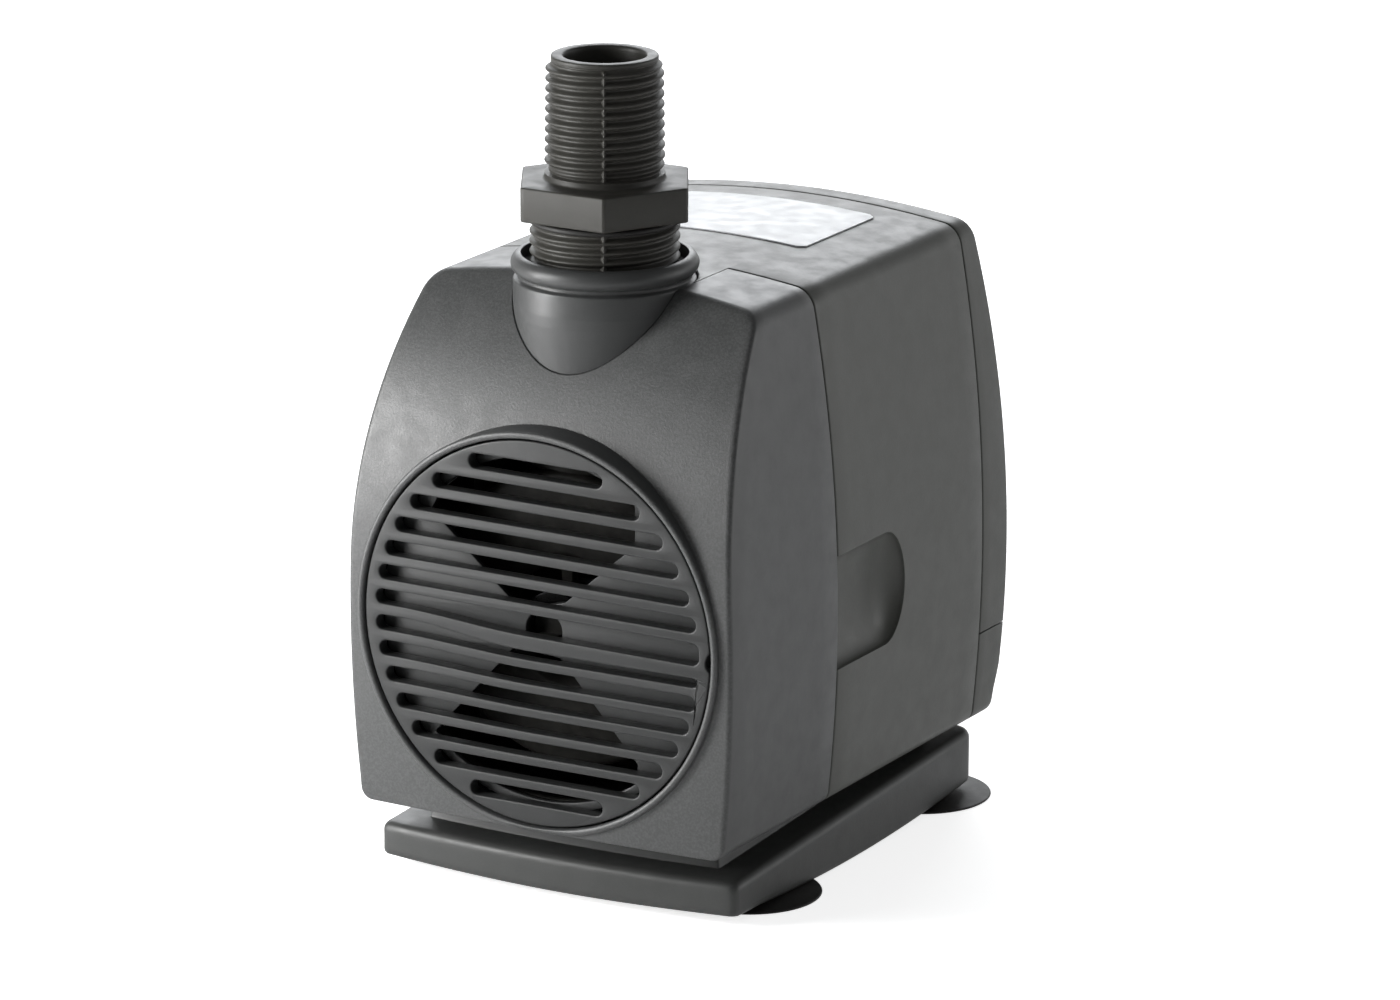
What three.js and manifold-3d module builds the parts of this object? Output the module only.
// Submersible fountain pump: magnet-drive synchronous motor in a moulded body, slotted intake dial
// on a front cover, threaded outlet adapter on top, base tray on four suction cups.
// Millimetres, +Z up. -Y is the front (intake) side; left (-X) and right (+X) are as seen from it.
import * as THREE from "three";
import { mergeVertices } from "three/addons/utils/BufferGeometryUtils.js";
import Module from "manifold-3d";

const wasm = await Module();
wasm.setup();

// ---------------------------------------------------------------- driving dimensions
// body
const BODY_HALF_W = 38.9; // widest half width
const BELLY_Z = 48.25; // height of the widest section
const SIDE_R = 305; // barrel radius of the two flanks
const FRONT_Y = -52.9; // foremost line of the front face
const NOSE_Z = 59; // above this height the front face rolls back
const NOSE_R = 69.5;
const CHIN_R = 1600;
const FRONT_BOW = 1.1; // the front face is this much further back at its edges
const REAR_Y = 53.7;
const REAR_Z = 43.6;
const REAR_R = 424;
const REAR_BOW = 0.3;
const BODY_BOTTOM = 14.1;
const BOTTOM_CHAMFER = 2.4;
const TOP_Z = 110.5; // crown of the top
const CROWN_R = 205;
const TOP_FILLET = 4.5;
const WALL = 2.3;
const SEAM_1 = -12.7; // Y, front cover / motor housing
const SEAM_2 = 43.2; // Y, motor housing / rear cover
const SEAM_3_Z = 31.4; // rear cover / cord cover
const GAP = 0.3;
const HOUSING_FRONT = SEAM_1 + GAP / 2;

// intake, on the axis shared by motor and impeller
const AXIS_Z = 50.25;
const DIAL_R = 34.95;
const DIAL_FRONT = -52.4;
const DIAL_BACK = -49.7;
const SLOT_PITCH = 4.61;
const SLOT_COUNT = 14;
const SLOT_W = 2.75;
const SLOT_TIP_R = 32.85; // the slot ends lie on this circle
const RING_IN = 35.3;
const RING_OUT = 36.6;
const SECTOR_R = 31; // openings of the two sector plates

// outlet
const SPOUT_Y = -28;
const SPOUT_R = 16.2;
const SPOUT_CLEARANCE = 0.55; // front cover to spout
const TONGUE_CLEARANCE = 0.75; // motor housing to spout
const SPOUT_FLARE = [[13.8, 90], [14.6, 95.5], [15.4, 100], [SPOUT_R, 105]]; // radius, z
const LIP_TOP = 114.2;
const THREAD_PITCH = 1.814; // 14 threads per inch, both outlet threads
const HALF_INCH_R = 10.48;
const THREE_QUARTER_R = 13.22;
const HEX_AF = 29.2; // across flats
const HEX_Z0 = 121.3;
const HEX_Z1 = 127.5;
const HEX_TURN = THREE.MathUtils.degToRad(29.3); // a corner stands off the front centre line
const NOZZLE_TOP = 149.5;
const NOZZLE_BORE_R = 7.2;

// motor
const STACK_Y0 = 1; // lamination stack
const STACK_Y1 = 27;
const LEG_IN_X = 16; // inner and outer faces of the core's legs
const LEG_OUT_X = 28;
const CORD_Z = 22; // height at which the cord leaves the rear

// base
const BASE_HALF_W = 36.5;
const BASE_Y0 = -47.6;
const BASE_Y1 = 46.4;
const BASE_MID_Y = (BASE_Y0 + BASE_Y1) / 2;
const BASE_CORNER_R = 4;
const BASE_TOP = 8; // height of the tray's rim at its front
const BASE_RISE = 0.048; // the rim climbs towards the rear by this much per mm
const BASE_ARCH = 2.4; // the lower edge is this much higher at its corners
const CUP_R = 13.2;
const CUPS = { // x, y
  front_left: [-28.2, -25.9],
  front_right: [28.2, -25.9],
  rear_left: [-28.2, 39.8],
  rear_right: [28.2, 39.8],
};

// screws
const SCREW_HOLE_R = 1.95;
const SCREW_BOSS_R = 3.6;
const VOLUTE_SCREW_R = 30.2; // pitch circle around the axis
const VOLUTE_SCREWS = [45, 135, 225, 315].map(THREE.MathUtils.degToRad).map((angle) =>
  [VOLUTE_SCREW_R * Math.cos(angle), AXIS_Z + VOLUTE_SCREW_R * Math.sin(angle)]); // x, z
const BASE_SCREWS = [[-20, -2], [20, -2], [-20, 34], [20, 34]]; // x, y

const SHIFT_Y = -10; // brings the middle of the overall length onto the origin
const QUARTER = Math.PI / 2;
const BIG = 200; // beyond every part

// ---------------------------------------------------------------- solids
// Welds a closed geometry into a manifold, turning it right side out if needed.
function solid(geometry) {
  for (const name of Object.keys(geometry.attributes)) {
    if (name !== "position") geometry.deleteAttribute(name);
  }
  const welded = mergeVertices(geometry, 1e-4);
  const corners = welded.index.array;
  const triangles = [];
  for (let i = 0; i < corners.length; i += 3) {
    const [a, b, c] = corners.slice(i, i + 3);
    if (a !== b && b !== c && a !== c) triangles.push(a, b, c);
  }
  const build = () => new wasm.Manifold(new wasm.Mesh({
    numProp: 3,
    vertProperties: welded.attributes.position.array,
    triVerts: new Uint32Array(triangles),
  }));
  const result = build();
  if (result.volume() >= 0) return result;
  for (let i = 0; i < triangles.length; i += 3) {
    [triangles[i + 1], triangles[i + 2]] = [triangles[i + 2], triangles[i + 1]];
  }
  return build();
}

function indexedSolid(positions, index) {
  const geometry = new THREE.BufferGeometry();
  geometry.setAttribute("position", new THREE.Float32BufferAttribute(positions, 3));
  geometry.setIndex(index);
  return solid(geometry);
}

// flat-shaded geometry of a manifold
function geometryOf(manifold) {
  const mesh = manifold.getMesh();
  const geometry = new THREE.BufferGeometry();
  geometry.setAttribute("position", new THREE.BufferAttribute(mesh.vertProperties, 3));
  geometry.setIndex(new THREE.BufferAttribute(new Uint32Array(mesh.triVerts), 1));
  const flat = geometry.toNonIndexed();
  flat.computeVertexNormals();
  return flat;
}

const union = (...parts) => parts.reduce((a, b) => a.add(b));
const cut = (body, ...tools) => tools.reduce((rest, tool) => rest.subtract(tool), body);

const box = (x0, x1, y0, y1, z0, z1) =>
  solid(new THREE.BoxGeometry(x1 - x0, y1 - y0, z1 - z0)
    .translate((x0 + x1) / 2, (y0 + y1) / 2, (z0 + z1) / 2));
const midBox = (halfWidth, y0, y1, z0, z1) => box(-halfWidth, halfWidth, y0, y1, z0, z1);
const slab = (y0, y1, z0 = -BIG, z1 = BIG) => midBox(BIG, y0, y1, z0, z1);

// cylinders along Y: anywhere, and on the motor axis
const cylinderY = (radius, y0, y1, x, z, sides, rearRadius = radius) =>
  solid(new THREE.CylinderGeometry(rearRadius, radius, y1 - y0, sides)
    .translate(x, (y0 + y1) / 2, z));
const axial = (radius, y0, y1, sides, rearRadius) =>
  cylinderY(radius, y0, y1, 0, AXIS_Z, sides, rearRadius);
// cylinders along Z: anywhere, and on the outlet axis
const cylinderZ = (radius, z0, z1, x, y, sides) =>
  solid(new THREE.CylinderGeometry(radius, radius, z1 - z0, sides)
    .rotateX(QUARTER).translate(x, y, (z0 + z1) / 2));
const upright = (radius, z0, z1, sides) => cylinderZ(radius, z0, z1, 0, SPOUT_Y, sides);

// revolved profiles of [radius, height along the axis]
const lathe = (profile, sides) =>
  new THREE.LatheGeometry(profile.map((point) => new THREE.Vector2(...point)), sides);
const latheY = (profile, z, sides) => solid(lathe(profile, sides).translate(0, 0, z));
const latheZ = (profile, y, sides) =>
  solid(lathe(profile, sides).rotateX(QUARTER).translate(0, y, 0));

const extrude = (points, depth) => new THREE.ExtrudeGeometry(
  new THREE.Shape(points.map((point) => new THREE.Vector2(...point))),
  { depth, bevelEnabled: false });
// outline of [x, z] given thickness along Y
const plateY = (points, y0, y1) =>
  solid(extrude(points, y1 - y0).rotateX(QUARTER).translate(0, y1, 0));
// outline of [y, z] given thickness along X
const plateX = (points, x0, x1) =>
  solid(extrude(points, x1 - x0).rotateX(QUARTER).rotateZ(QUARTER).translate(x0, 0, 0));

// box reaching outward from the motor axis, turned around it
const radialBar = ([length, depth, thickness], midRadius, midY, turn) =>
  solid(new THREE.BoxGeometry(length, depth, thickness)
    .translate(midRadius, midY, 0).rotateY(turn).translate(0, 0, AXIS_Z));

// points of an arc, both ends included
const arc = (centreU, centreV, radius, start, sweep, steps, radiusV = radius) =>
  Array.from({ length: steps + 1 }, (_, i) => {
    const angle = start + (sweep * i) / steps;
    return [centreU + radius * Math.cos(angle), centreV + radiusV * Math.sin(angle)];
  });
// closes a right-hand half outline with its mirror image
const mirrored = (half) => [...half, ...half.map(([x, z]) => [-x, z]).reverse()];

function tubeAlong(points, radius, sides, steps) {
  const path = points.map((point) => new THREE.Vector3(...point));
  const section = arc(0, 0, radius, 0, 2 * Math.PI, sides).slice(0, -1);
  return solid(new THREE.ExtrudeGeometry(
    new THREE.Shape(section.map((point) => new THREE.Vector2(...point))),
    {
      steps,
      bevelEnabled: false,
      extrudePath: new THREE.CatmullRomCurve3(path, false, "centripetal"),
    }));
}

// ---------------------------------------------------------------- the pillow-shaped body
const halfWidthAt = (z) => BODY_HALF_W - (z - BELLY_Z) ** 2 / (2 * SIDE_R);
const crownZ = (x) => TOP_Z - x ** 2 / (2 * CROWN_R);
function frontY(x, z) {
  const setback = z > NOSE_Z
    ? NOSE_R - Math.sqrt(NOSE_R ** 2 - (z - NOSE_Z) ** 2)
    : (NOSE_Z - z) ** 2 / (2 * CHIN_R);
  return FRONT_Y + setback + FRONT_BOW * (x / BODY_HALF_W) ** 2;
}
const rearY = (x, z) =>
  REAR_Y - (z - REAR_Z) ** 2 / (2 * REAR_R) - REAR_BOW * (x / BODY_HALF_W) ** 2;

// right half of the cross section, bottom to crown, as [half width, z]
function sectionProfile(inset) {
  const bottom = BODY_BOTTOM + inset;
  const fillet = TOP_FILLET - inset;
  // settle the fillet's centre so that it touches both flank and crown
  let x = 28;
  let z = 104;
  const flankTilt = () => Math.atan((z - BELLY_Z) / SIDE_R);
  const crownTilt = () => Math.atan(x / CROWN_R);
  for (let i = 0; i < 20; i++) {
    x = halfWidthAt(z) - inset - fillet / Math.cos(flankTilt());
    z = crownZ(x) - inset - fillet / Math.cos(crownTilt());
  }
  return [
    [halfWidthAt(bottom) - inset - BOTTOM_CHAMFER, bottom],
    ...[bottom + BOTTOM_CHAMFER, 30, BELLY_Z, 60, 72, 84, 95]
      .map((height) => [halfWidthAt(height) - inset, height]),
    ...arc(x, z, fillet, flankTilt(), QUARTER - crownTilt() - flankTilt(), 3),
    ...[20, 10, 0].map((half) => [half, crownZ(half) - inset]),
  ];
}

function pillow(inset) {
  const rows = sectionProfile(inset);
  const columns = 6;
  const positions = [];
  const index = [];
  for (const [half, z] of rows) {
    for (let j = 0; j <= columns; j++) {
      const x = half * ((2 * j) / columns - 1);
      positions.push(x, frontY(x, z) + inset, z, x, rearY(x, z) - inset, z);
    }
  }
  const front = (row, column) => 2 * (row * (columns + 1) + column);
  const rear = (row, column) => front(row, column) + 1;
  const quad = (a, b, c, d) => index.push(a, b, c, a, c, d);
  for (let i = 0; i < rows.length - 1; i++) {
    for (let j = 0; j < columns; j++) {
      quad(front(i, j), front(i, j + 1), front(i + 1, j + 1), front(i + 1, j));
      quad(rear(i, j), rear(i + 1, j), rear(i + 1, j + 1), rear(i, j + 1));
    }
    quad(front(i, columns), rear(i, columns), rear(i + 1, columns), front(i + 1, columns));
    quad(front(i, 0), front(i + 1, 0), rear(i + 1, 0), rear(i, 0));
  }
  for (let j = 0; j < columns; j++) {
    quad(front(0, j), rear(0, j), rear(0, j + 1), front(0, j + 1));
  }
  return indexedSolid(positions, index);
}

const outer = pillow(0);
const inner = pillow(WALL);

// ---------------------------------------------------------------- front cover, dial and shutter
// Disc with sector openings above and below the axis, a level bar and a bored hub.
// barZ: lower and upper edge of the bar, from the axis.
function sectorPlate({ radius, y0, y1, barZ, boreR, hubR, sides }) {
  const openings = [1, -1].map((side) => {
    const apexZ = AXIS_Z + side * 0.02; // keeps the two openings apart
    const edge = arc(0, apexZ, SECTOR_R, side * QUARTER - QUARTER / 2, QUARTER, 7);
    return plateY([[0, apexZ], ...edge], y0 - 1, y1 + 1);
  });
  const plate = union(
    cut(axial(radius, y0, y1, sides), ...openings),
    midBox(SECTOR_R + 0.8, y0, y1, AXIS_Z + barZ[0], AXIS_Z + barZ[1]),
    axial(hubR, y0, y1, 14),
  );
  return cut(plate, axial(boreR, y0 - 1, y1 + 1, 14));
}

function frontCover() {
  const ringBore = axial(RING_IN, -70, -40, 40);
  const shell = cut(outer.intersect(slab(-80, SEAM_1 - GAP / 2)), inner, ringBore);
  const ring = cut(
    axial(RING_OUT, FRONT_Y - 0.1, -45.6, 40),
    ringBore,
    slab(-80, 0, -BIG, BODY_BOTTOM),
  );
  const grille = sectorPlate({
    radius: RING_IN + 0.5, y0: -47.6, y1: -46, barZ: [-2.2, 2.2], boreR: 3.9, hubR: 7, sides: 40,
  });
  // way in from behind for the outlet spout
  const wayR = SPOUT_R + SPOUT_CLEARANCE;
  const flare = SPOUT_FLARE.map(([radius, z]) => [radius + SPOUT_CLEARANCE, z]);
  const way = union(
    latheZ([[0, 86], [13.4, 86], ...flare, [wayR, 130], [0, 130]], SPOUT_Y, 28),
    midBox(wayR, SPOUT_Y, 0, 100, 130),
  );
  return cut(union(shell, ring, grille), way);
}

// Vertical shift of a slot's edge. The bar between the two middle slots slants down to the
// right and pushes the slots under it down, less and less towards the lowest one.
function slotShift(slot, isUpperEdge, x) {
  const { smoothstep } = THREE.MathUtils;
  const last = SLOT_COUNT - 1;
  const belowBar = SLOT_COUNT / 2;
  const aboveBar = belowBar - 1;
  const tilt = -0.2 - 0.012 * x;
  if (slot < aboveBar || (slot === aboveBar && isUpperEdge)) return tilt;
  if (slot === aboveBar) return tilt - 1.2 * smoothstep(x, -28, -2);
  if (slot === belowBar && isUpperEdge) return -2.3 * smoothstep(x, -28, -2);
  return (-1.15 * smoothstep(x, -30, 0) * (last - slot)) / (last - belowBar);
}

// slots are numbered from the top
function slotOutline(slot) {
  const height = ((SLOT_COUNT - 1) / 2 - slot) * SLOT_PITCH;
  const radius = SLOT_W / 2;
  const half = Math.sqrt(SLOT_TIP_R ** 2 - height ** 2) - radius;
  const points = [];
  for (const side of [1, -1]) {
    points.push(...arc(side * half, height, radius, -side * QUARTER, Math.PI, 3));
    for (let k = 3; k >= -3; k--) points.push([(side * half * k) / 4, height + side * radius]);
  }
  return points.map(([x, z]) => [x, z + AXIS_Z + slotShift(slot, z > height, x)]);
}

function intakeDial() {
  const disc = latheY([
    [0, DIAL_BACK], [DIAL_R, DIAL_BACK], [DIAL_R, DIAL_FRONT + 1.4],
    [DIAL_R - 0.5, DIAL_FRONT + 0.4], [DIAL_R - 1.4, DIAL_FRONT], [0, DIAL_FRONT],
  ], AXIS_Z, 40);
  const slots = Array.from({ length: SLOT_COUNT }, (_, slot) =>
    plateY(slotOutline(slot), DIAL_FRONT - 1, DIAL_BACK + 1));
  const edgeNotch = cylinderZ(1.1, AXIS_Z - 1, AXIS_Z + 1, DIAL_R + 0.2, DIAL_FRONT + 0.7, 12);
  const spindleEnd = -44.4;
  const spindle = axial(3.5, DIAL_BACK - 0.8, spindleEnd, 14);
  const flattedHead = axial(4.8, spindleEnd, -43.2, 14, 4.2)
    .intersect(midBox(20, -60, 0, AXIS_Z - 3.4, AXIS_Z + 3.4));
  return union(cut(disc, ...slots, edgeNotch), spindle, flattedHead);
}

const dialShutter = () => sectorPlate({
  radius: 33, y0: -49.4, y1: -47.9, barZ: [-4.4, 0.4], boreR: 3.8, hubR: 6.5, sides: 36,
});

// ring on the dial's spindle, open at the bottom
const dialClip = () => cut(
  axial(6.2, -45.65, -44.75, 14),
  axial(3.85, -60, -40, 14),
  midBox(1.6, -60, -40, AXIS_Z - 20, AXIS_Z),
);

// ---------------------------------------------------------------- housing and rear covers
function motorHousing() {
  // the thumb recesses are backed by solid pads
  const cavity = cut(
    inner.intersect(slab(HOUSING_FRONT + 3, 60)),
    box(31.5, 50, -20, 15.5, 36, 63.4),
    box(-50, -31.5, -20, 15.5, 36, 63.4),
  );
  const shell = cut(outer.intersect(slab(HOUSING_FRONT, SEAM_2 - GAP / 2)), cavity);
  const rotorWell = axial(15.6, HOUSING_FRONT + 1, 42, 24);
  const rotorBore = axial(14.1, -20, 40, 24);
  const bushingSeat = cut(axial(8.2, 36.4, 41, 16), axial(6.3, 30, 40, 16));
  const voluteBosses = VOLUTE_SCREWS.map(([x, z]) =>
    cylinderY(SCREW_BOSS_R, HOUSING_FRONT + 1, -6, x, z, 8));
  const voluteHoles = VOLUTE_SCREWS.map(([x, z]) => cylinderY(SCREW_HOLE_R, -20, -7.2, x, z, 8));
  const baseBosses = BASE_SCREWS.map(([x, y]) =>
    cylinderZ(SCREW_BOSS_R, BODY_BOTTOM + 1, 24, x, y, 8));
  const baseHoles = BASE_SCREWS.map(([x, y]) => cylinderZ(SCREW_HOLE_R, 0, 22.6, x, y, 8));
  // tongue over the back of the outlet
  const tongue = cut(
    outer.intersect(midBox(SPOUT_R + 0.15, SPOUT_Y, HOUSING_FRONT + 0.5, 100, 130)),
    inner,
  );
  // thumb recess: straight front end, rounded rear end
  const thumbZ = 49.7;
  const thumbHalfH = 10.5;
  const thumb = [
    [-14, thumbZ - thumbHalfH],
    ...arc(5.2, thumbZ, 7.2, -QUARTER, Math.PI, 8, thumbHalfH),
    [-14, thumbZ + thumbHalfH],
  ];
  return cut(
    union(
      cut(union(shell, rotorWell), rotorBore),
      bushingSeat, ...voluteBosses, ...baseBosses, tongue,
    ),
    ...voluteHoles,
    ...baseHoles,
    upright(SPOUT_R + TONGUE_CLEARANCE, 84, 130, 28),
    plateX(thumb, 35.4, 60),
    plateX(thumb, -60, -35.4),
  );
}

const rearShell = cut(outer.intersect(slab(SEAM_2 + GAP / 2, 80)), inner.intersect(slab(30, 80)));

const rearCover = () => cut(rearShell, slab(0, 80, -BIG, SEAM_3_Z + GAP / 2));

function cordCover() {
  const shell = rearShell.intersect(slab(0, 80, -BIG, SEAM_3_Z - GAP / 2));
  const grommetBlock = midBox(9, 46, 52, 16, 29);
  return cut(
    union(shell, grommetBlock),
    cylinderY(5.5, 40, 60, 0, CORD_Z, 16),
    cylinderY(6.7, 48.3, 50.3, 0, CORD_Z, 16), // groove for the grommet's flange
  );
}

function pottingCap() {
  const half = [[33, 19], [34.5, 30], [34.6, 60], [31.5, 90], [27.5, 103]]; // x, z
  return cut(
    plateY(mirrored(half), 38.4, 42.2),
    axial(16.2, 30, 50, 24),
    cylinderY(4.6, 30, 50, 0, 24, 10), // passage for the lead wires
  );
}

// ---------------------------------------------------------------- stator: U core, two coils
function statorCore() {
  const half = [[31, 33], [31, 68], [LEG_OUT_X, 72], [LEG_OUT_X, 102]]; // x, z
  const [y0, y1] = [STACK_Y0 - 1, STACK_Y1 + 1];
  return cut(
    plateY(mirrored(half), STACK_Y0, STACK_Y1),
    axial(16.2, y0, y1, 24),
    midBox(2, y0, y1, 20, 72), // gap between the poles
    midBox(LEG_IN_X, y0, y1, 69.5, 90), // window for the coils
  );
}

const COIL_PLAY = 0.3; // bobbin to core
const COIL_X = (LEG_IN_X + LEG_OUT_X) / 2;
const COIL_BORE_X = (LEG_OUT_X - LEG_IN_X) / 2 + COIL_PLAY;

// box around a core leg; marginX and marginY are its margins over the bobbin's bore
const aroundLeg = (side, marginX, marginY, z0, z1) => box(
  side * COIL_X - COIL_BORE_X - marginX, side * COIL_X + COIL_BORE_X + marginX,
  STACK_Y0 - COIL_PLAY - marginY, STACK_Y1 + COIL_PLAY + marginY, z0, z1);

const coilBobbin = (side) => cut(
  union(
    aroundLeg(side, 1, 1, 72.4, 89.6),
    aroundLeg(side, 4.5, 5.6, 72.4, 73.6),
    aroundLeg(side, 4.5, 5.6, 88.4, 89.6),
  ),
  aroundLeg(side, 0, 0, 60, 100),
);
const coilWinding = (side) =>
  cut(aroundLeg(side, 4, 5, 74, 88), aroundLeg(side, 1.3, 1.3, 70, 92));

// ---------------------------------------------------------------- rotor, bushings, impeller
const BUSHING_BORE_R = 2.35;
const ROTOR_BORE_R = 2.4;

const rotorShaft = () => axial(2, -41.2, 39.3, 12);
const rearBushing = () => cut(axial(6, 36.7, 39.7, 14), axial(BUSHING_BORE_R, 30, 45, 12));
const frontBushing = () => cut(axial(4, -41.6, -37.2, 14), axial(BUSHING_BORE_R, -50, -30, 12));
const rotorMagnet = () => cut(axial(12.6, -3, 33, 24), axial(4.9, -10, 40, 14));

const rotorSleeve = () => cut(
  union(
    axial(4.4, -18.2, 35.6, 14),
    axial(12.4, -5.8, -3.3, 20), // flange in front of the magnet
    axial(12.4, 33.3, 35.4, 20), // flange behind it
    midBox(1.5, -18.2, -13.2, AXIS_Z + 3.5, AXIS_Z + 7.4), // lug inside the impeller's cup
  ),
  axial(ROTOR_BORE_R, -30, 50, 12),
);

function impeller() {
  const bladeCount = 6;
  const cupWall = cut(axial(9.8, -21, -12.6, 20), axial(8.3, -20, -10, 20));
  const cupLug = midBox(1.5, -20.4, -13.2, AXIS_Z - 8.8, AXIS_Z - 5);
  const blades = Array.from({ length: bladeCount }, (_, i) =>
    radialBar([16, 10.4, 1.5], 12, -29, (2 * Math.PI * i) / bladeCount));
  const hub = axial(5.6, -35.6, -22.4, 16);
  const cupFloor = axial(9.8, -22.6, -20, 20);
  return cut(
    union(hub, cupFloor, cupWall, cupLug, ...blades),
    axial(ROTOR_BORE_R, -60, 0, 12),
  );
}

// ---------------------------------------------------------------- volute with the outlet spout
function voluteCasing() {
  const back = SEAM_1 - GAP;
  const spout = latheZ([
    [0, 85], [12.6, 85], ...SPOUT_FLARE,
    [SPOUT_R, 109.7], [SPOUT_R - 0.7, 109.9], [SPOUT_R - 0.7, 110.4], [SPOUT_R + 0.1, 110.9],
    [SPOUT_R + 0.35, 112.2], [SPOUT_R + 0.1, 113.4], [SPOUT_R - 0.8, LIP_TOP], [0, LIP_TOP],
  ], SPOUT_Y, 24);
  const casing = cut(
    union(
      axial(27, -41.6, back, 28),
      axial(33.6, -16.4, back, 28), // mounting flange
      upright(13.6, 60, 87, 24),
      spout,
    ),
    axial(24.4, -38.8, 0, 28), // chamber
    upright(10.6, 62, 130, 18), // outlet bore and its two wider steps
    upright(13.7, 99, 130, 24),
    upright(14.7, 112.6, 130, 24),
    axial(10.4, -60, -30, 20), // inlet eye
  );
  // spider that carries the front bushing
  const spider = [90, 210, 330].map((angle) =>
    radialBar([7.4, 2.8, 2], 8, -40.2, -THREE.MathUtils.degToRad(angle)));
  const ringGroove = cut(axial(28, -14.7, 0, 24), axial(25.6, -20, 5, 24));
  return cut(
    union(casing, union(axial(6, -41.6, -37, 16), ...spider)),
    axial(4.3, -60, -30, 16),
    ringGroove,
    ...VOLUTE_SCREWS.map(([x, z]) => cylinderY(SCREW_HOLE_R, -20, 0, x, z, 8)),
  );
}

const voluteORing = () => solid(new THREE.TorusGeometry(26.8, 0.7, 5, 28)
  .rotateX(QUARTER).translate(0, -13.65, AXIS_Z));

// cross-recessed, head to the front
const voluteScrew = () => cut(
  latheY([
    [0, -19.2], [2.2, -19.2], [3, -18.6], [3, -16.8],
    [1.5, -16.8], [1.5, -8.8], [0.6, -7.8], [0, -7.8],
  ], 0, 10),
  union(midBox(1.9, -20, -18.2, -0.4, 0.4), midBox(0.4, -20, -18.2, -1.9, 1.9)),
);

// ---------------------------------------------------------------- outlet adapter
// ridges as [radius, z], from the top one down
const threadProfile = (crestR, rootR, topZ, turns) =>
  Array.from({ length: turns }, (_, i) => topZ - i * THREAD_PITCH)
    .flatMap((z) => [[crestR, z], [rootR, z - THREAD_PITCH / 2]]);

function outletAdapter() {
  const neckR = HALF_INCH_R + 0.1;
  const tube = latheZ([
    // bore, bottom to top
    [9.6, 101.2], [9.6, 118], [NOZZLE_BORE_R, 121.5], [NOZZLE_BORE_R, NOZZLE_TOP - 0.7],
    [NOZZLE_BORE_R + 0.5, NOZZLE_TOP],
    // down the outside
    [9.35, NOZZLE_TOP], [9.55, 148.6],
    ...threadProfile(HALF_INCH_R, 9.5, 147.7, 10),
    [neckR, 129.4], [neckR, HEX_Z1 - 1], [12.2, HEX_Z1 - 1], [12.2, HEX_Z0 + 0.2],
    [12, HEX_Z0 + 0.2], [12, 119.3],
    ...threadProfile(THREE_QUARTER_R, 12.25, 118.5, 4),
    [12.9, 111.2], [12.9, 102.4], [12, 101.2], [9.6, 101.2],
  ], SPOUT_Y, 18);
  const cornerR = HEX_AF / Math.sqrt(3);
  const hexagon = solid(new THREE.CylinderGeometry(cornerR, cornerR, HEX_Z1 - HEX_Z0, 6)
    .rotateX(QUARTER).rotateZ(HEX_TURN).translate(0, SPOUT_Y, (HEX_Z0 + HEX_Z1) / 2));
  // bevels the upper corners
  const bevel = latheZ([
    [0, HEX_Z0 - 1], [cornerR + 1, HEX_Z0 - 1], [cornerR + 1, HEX_Z1 - 1.6],
    [HEX_AF / 2 + 0.1, HEX_Z1 + 0.05], [0, HEX_Z1 + 0.05],
  ], SPOUT_Y, 18);
  return union(tube, cut(hexagon.intersect(bevel), upright(11.6, 100, 140, 18)));
}

const adapterORing = () =>
  solid(new THREE.TorusGeometry(13.1, 0.6, 5, 24).translate(0, SPOUT_Y, 120.3));

// ---------------------------------------------------------------- base tray, cups, screws
// Rounded rectangle at one level of the tray. The lower edge is arched, the rim climbs rearwards.
function baseLoop(inset, level, isLowerEdge) {
  const { clamp } = THREE.MathUtils;
  const cornerX = BASE_HALF_W - BASE_CORNER_R;
  const [frontCornerY, rearCornerY] = [BASE_Y0 + BASE_CORNER_R, BASE_Y1 - BASE_CORNER_R];
  const corners = [
    [cornerX, frontCornerY], [cornerX, rearCornerY],
    [-cornerX, rearCornerY], [-cornerX, frontCornerY],
  ].map(([x, y], i) => arc(x, y, BASE_CORNER_R - inset, (i - 1) * QUARTER, QUARTER, 3));
  const points = corners.flatMap((corner, i) => {
    const [x0, y0] = corner.at(-1);
    const [x1, y1] = corners[(i + 1) % 4][0];
    const edge = [1, 2, 3].map((k) => [x0 + ((x1 - x0) * k) / 4, y0 + ((y1 - y0) * k) / 4]);
    return [...corner, ...edge];
  });
  return points.map(([x, y]) => {
    const acrossSq = (x / BASE_HALF_W) ** 2;
    const alongSq = ((y - BASE_MID_Y) / ((BASE_Y1 - BASE_Y0) / 2)) ** 2;
    const frontBow = 2.1 * acrossSq * clamp((-y - 20) / 25, 0, 1);
    const frontLift = clamp((-y - 36) / 9, 0, 1) * (1.1 - 1.6 * acrossSq);
    const lift = isLowerEdge
      ? BASE_ARCH * acrossSq * alongSq + frontLift
      : BASE_RISE * (y - BASE_Y0);
    return [x, y + frontBow, level + lift];
  });
}

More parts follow.
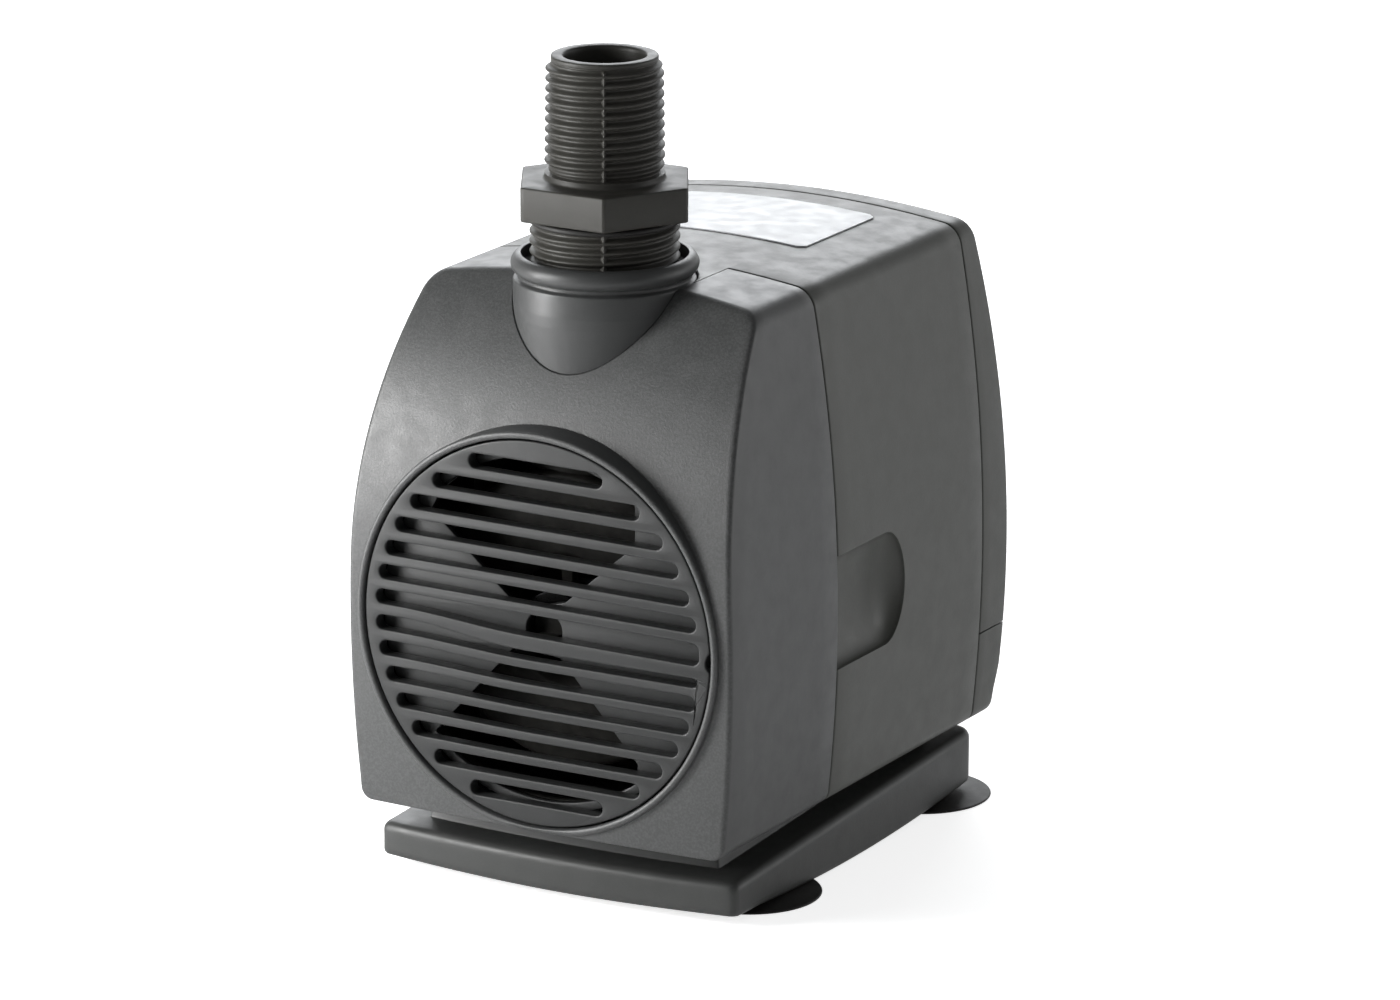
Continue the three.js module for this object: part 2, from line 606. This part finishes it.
// skin over stacked loops, each end closed by a fan
function loft(loops) {
  const count = loops[0].length;
  const positions = loops.flat(2);
  const index = [];
  const next = (j) => (j + 1) % count;
  for (let i = 0; i < loops.length - 1; i++) {
    for (let j = 0; j < count; j++) {
      const a = i * count + j;
      const b = i * count + next(j);
      index.push(a, b, b + count, a, b + count, a + count);
    }
  }
  for (const i of [0, loops.length - 1]) {
    const centre = positions.length / 3;
    positions.push(0, BASE_MID_Y, loops[i].reduce((sum, point) => sum + point[2], 0) / count);
    for (let j = 0; j < count; j++) {
      const a = i * count + j;
      const b = i * count + next(j);
      index.push(...(i > 0 ? [a, b, centre] : [b, a, centre]));
    }
  }
  return indexedSolid(positions, index);
}

function baseTray() {
  const cups = Object.values(CUPS);
  const tray = loft([
    baseLoop(0.3, 0.4, true),
    baseLoop(0, 0.95, true),
    baseLoop(0, BASE_TOP - 1.4, false),
    baseLoop(0.5, BASE_TOP - 0.4, false),
    baseLoop(1.5, BASE_TOP, false),
  ]);
  const plinth = midBox(29.8, -39.5, 40.5, BASE_TOP - 1, BODY_BOTTOM - GAP);
  // open underside, leaving bosses for cups and screws
  const hollow = cut(
    union(midBox(34.2, -43.2, 44, -5, 6), midBox(27.4, -37.2, 38.2, -5, 11.6)),
    ...cups.map(([x, y]) => cylinderZ(6.2, 5.2, 12, x, y, 10)),
    ...BASE_SCREWS.map(([x, y]) => cylinderZ(5, 5, 12, x, y, 8)),
  );
  return cut(
    union(tray, plinth),
    hollow,
    ...cups.flatMap(([x, y]) => [
      cylinderZ(2.9, 4, 8, x, y, 10),
      cylinderZ(4.3, 6.5, 8, x, y, 10),
    ]),
    ...BASE_SCREWS.flatMap(([x, y]) => [
      cylinderZ(SCREW_HOLE_R, 0, 30, x, y, 8),
      cylinderZ(3.6, 0, 6.6, x, y, 8), // head recess
    ]),
  );
}

const suctionCup = () => latheZ([
  [0, 0.7], [8.5, 0.25], [11, 0], [CUP_R - 0.1, 0], [CUP_R, 0.35], [8, 0.92], [5.4, 1],
  [3.3, 1.5], [3.3, 4.8], [2.4, 4.8], [2.4, 6.8], [3.7, 6.8], [3.2, 7.7], [0, 7.7],
], 0, 16);

// cross-recessed, head down
const baseScrew = () => cut(
  latheZ([
    [0, 4.9], [2.4, 4.9], [3.1, 5.4], [3.1, 6.3], [1.5, 6.3], [1.5, 20], [0.6, 21.4], [0, 21.4],
  ], 0, 10),
  midBox(1.8, -0.4, 0.4, 4, 5.7),
  midBox(0.4, -1.8, 1.8, 4, 5.7),
);

// ---------------------------------------------------------------- cord, grommet, wires, label
const powerCord = () => tubeAlong([
  [0, 45.2, CORD_Z], [0, 52, CORD_Z], [0, 60.5, 21.8], [-0.4, 66.6, 17.6],
  [-2.6, 69.5, 9.6], [-9, 70, 4.4], [-20, 69.2, 3.5], [-36, 66.5, 3.5],
], 3, 10, 16);

const cordGrommet = () => cut(
  latheY([
    [0, 46.3], [5.1, 46.3], [5.1, 48.6], [6.2, 48.6], [6.2, 50],
    [5.1, 50], [5.1, 54.6], [4.3, 60], [0, 60],
  ], CORD_Z, 14),
  cylinderY(3.4, 40, 70, 0, CORD_Z, 12),
);

const leadWire = (side) => tubeAlong([
  [1.5, 44.6, 23.5], [1.8, 40, 25], [1.8, 36, 27], [9, 34, 29.5],
  [33.6, 30.5, 40], [34.1, 29.4, 60], [32.5, 34.6, 75], [26, 35.6, 84],
].map(([x, y, z]) => [side * x, y, z]), 0.8, 5, 14);

// thin label that follows the crown
function ratingLabel() {
  const face = (lift) =>
    Array.from({ length: 9 }, (_, i) => -20 + 5 * i).map((x) => [x, crownZ(x) + lift]);
  return plateY([...face(0.55), ...face(0.3).reverse()], 8, 36);
}

// ---------------------------------------------------------------- materials
const standard = (settings) => new THREE.MeshStandardMaterial(settings);
const materials = {
  shell: standard({ color: 0x5b5d5f, roughness: 0.55 }),
  cover: standard({ color: 0x57585b, roughness: 0.6 }),
  dial: standard({ color: 0x4c4e50, roughness: 0.5 }),
  inside: standard({ color: 0x3a3b3c, roughness: 0.6 }),
  thread: standard({ color: 0x34342f, roughness: 0.4 }),
  base: standard({ color: 0x484a4a, roughness: 0.55 }),
  rubber: standard({ color: 0x1b1b1c, roughness: 0.5 }),
  label: standard({ color: 0xe8e8ea, roughness: 0.35 }),
  steel: standard({ color: 0x8f9296, roughness: 0.35, metalness: 1 }),
  lamination: standard({ color: 0x6d6f72, roughness: 0.5, metalness: 1 }),
  copper: standard({ color: 0xb4622d, roughness: 0.35, metalness: 1 }),
  bobbin: standard({ color: 0xd9d6cc, roughness: 0.6 }),
  magnet: standard({ color: 0x2b2b2d, roughness: 0.45 }),
  ceramic: standard({ color: 0xefece4, roughness: 0.2 }),
  impeller: standard({ color: 0x2d3f6b, roughness: 0.45 }),
  resin: standard({ color: 0x1d1e20, roughness: 0.4 }),
  brownWire: standard({ color: 0x8a3b22, roughness: 0.5 }),
  blueWire: standard({ color: 0x2d4f8c, roughness: 0.5 }),
};

// ---------------------------------------------------------------- assembly
const root = new THREE.Group();
root.name = "fountain_pump";
root.position.set(0, SHIFT_Y, 0);

function addGroup(name) {
  const group = new THREE.Group();
  group.name = name;
  root.add(group);
  // adds one mesh per place, all sharing a geometry; places are [name suffix, x, y, z]
  return (partName, body, material, places = [["", 0, 0, 0]]) => {
    const geometry = geometryOf(body);
    for (const [suffix, ...position] of places) {
      const mesh = new THREE.Mesh(geometry, material);
      mesh.name = partName + suffix;
      mesh.position.set(...position);
      group.add(mesh);
    }
  };
}
const addPump = addGroup("pump");
const addCover = addGroup("front_cover_group");
const addDial = addGroup("dial_group");
const addRotor = addGroup("rotor_group");
const addImpeller = addGroup("impeller_group");
const addAdapter = addGroup("adapter_group");

addCover("front_cover", frontCover(), materials.cover);
addDial("intake_dial", intakeDial(), materials.dial);
addDial("dial_shutter", dialShutter(), materials.dial);
addDial("dial_retaining_clip", dialClip(), materials.steel);

addPump("motor_housing", motorHousing(), materials.shell);
addPump("rear_cover", rearCover(), materials.shell);
addPump("cord_cover", cordCover(), materials.shell);
addPump("potting_cap", pottingCap(), materials.resin);

addPump("stator_core", statorCore(), materials.lamination);
for (const [name, side] of [["left", -1], ["right", 1]]) {
  addPump("coil_bobbin_" + name, coilBobbin(side), materials.bobbin);
  addPump("coil_winding_" + name, coilWinding(side), materials.copper);
}

addPump("rotor_shaft", rotorShaft(), materials.ceramic);
addPump("rear_bushing", rearBushing(), materials.rubber);
addPump("front_bushing", frontBushing(), materials.rubber);
addRotor("rotor_magnet", rotorMagnet(), materials.magnet);
addRotor("rotor_sleeve", rotorSleeve(), materials.ceramic);
addImpeller("impeller", impeller(), materials.impeller);

addPump("volute_casing", voluteCasing(), materials.inside);
addPump("volute_o_ring", voluteORing(), materials.rubber);
addPump("volute_screw_", voluteScrew(), materials.steel,
  VOLUTE_SCREWS.map(([x, z], i) => [i + 1, x, 0, z]));
addAdapter("outlet_adapter", outletAdapter(), materials.thread);
addAdapter("adapter_o_ring", adapterORing(), materials.rubber);

addPump("base_tray", baseTray(), materials.base);
addPump("suction_cup_", suctionCup(), materials.rubber,
  Object.entries(CUPS).map(([name, [x, y]]) => [name, x, y, 0]));
addPump("base_screw_", baseScrew(), materials.steel,
  BASE_SCREWS.map(([x, y], i) => [i + 1, x, y, 0]));

addPump("power_cord", powerCord(), materials.rubber);
addPump("cord_grommet", cordGrommet(), materials.rubber);
addPump("lead_wire_brown", leadWire(-1), materials.brownWire);
addPump("lead_wire_blue", leadWire(1), materials.blueWire);
addPump("rating_label", ratingLabel(), materials.label);

export default root;
